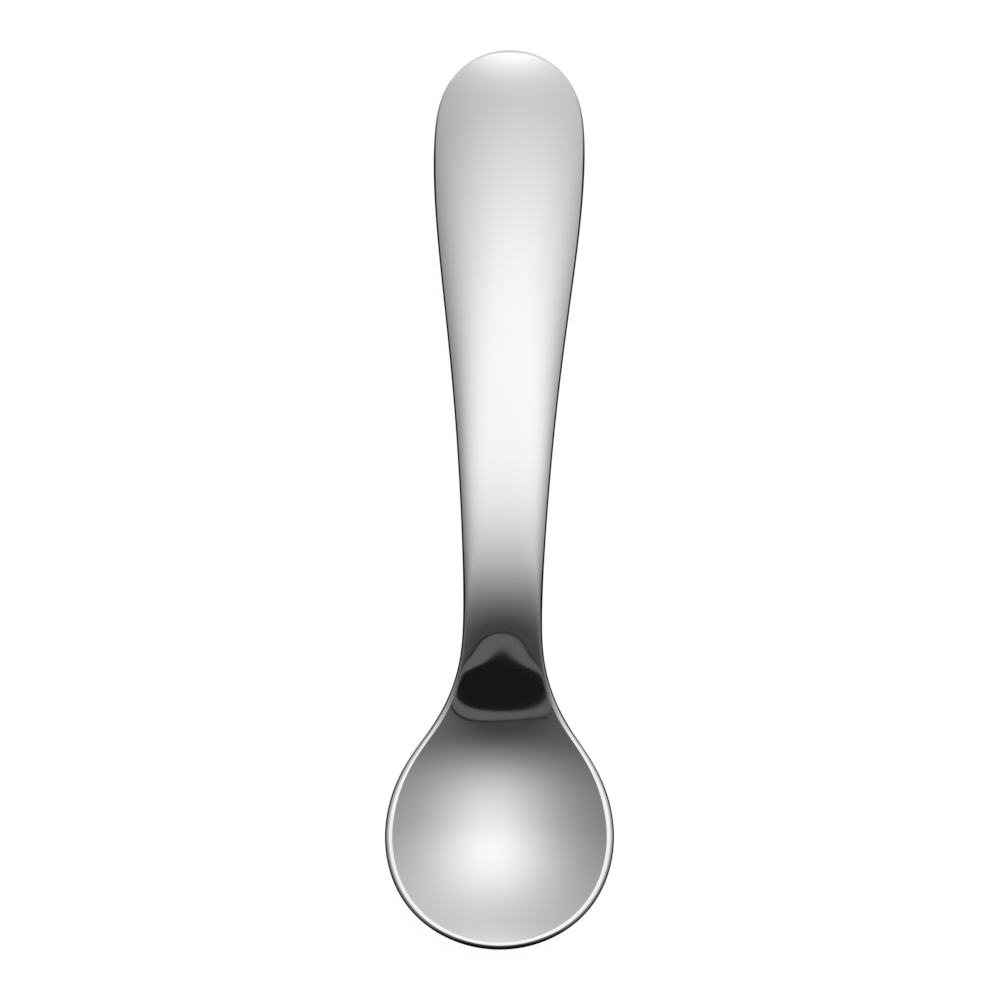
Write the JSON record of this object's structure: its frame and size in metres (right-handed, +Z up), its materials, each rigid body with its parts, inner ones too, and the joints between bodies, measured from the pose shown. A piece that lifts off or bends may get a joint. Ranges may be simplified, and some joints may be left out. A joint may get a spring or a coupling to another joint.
{
  "type": "child spoon",
  "caption": "One-piece polished steel spoon for a young child: round shallow bowl with a flat rim, narrow neck and broad crowned handle that arches down to the table.",
  "frame": {"origin": "middle of the footprint, on the table that the spoon lies on", "axes": "+Z up from the table, +Y from the bowl's tip to the end of the handle, +X across to the right when the spoon is seen from above with its handle up"},
  "size_m": [0.0332, 0.13, 0.0154],
  "materials": {
    "polished_steel": "polished"
  },
  "bodies": {
    "root": {"spoon": "polished_steel"}
  },
  "joints": []
}
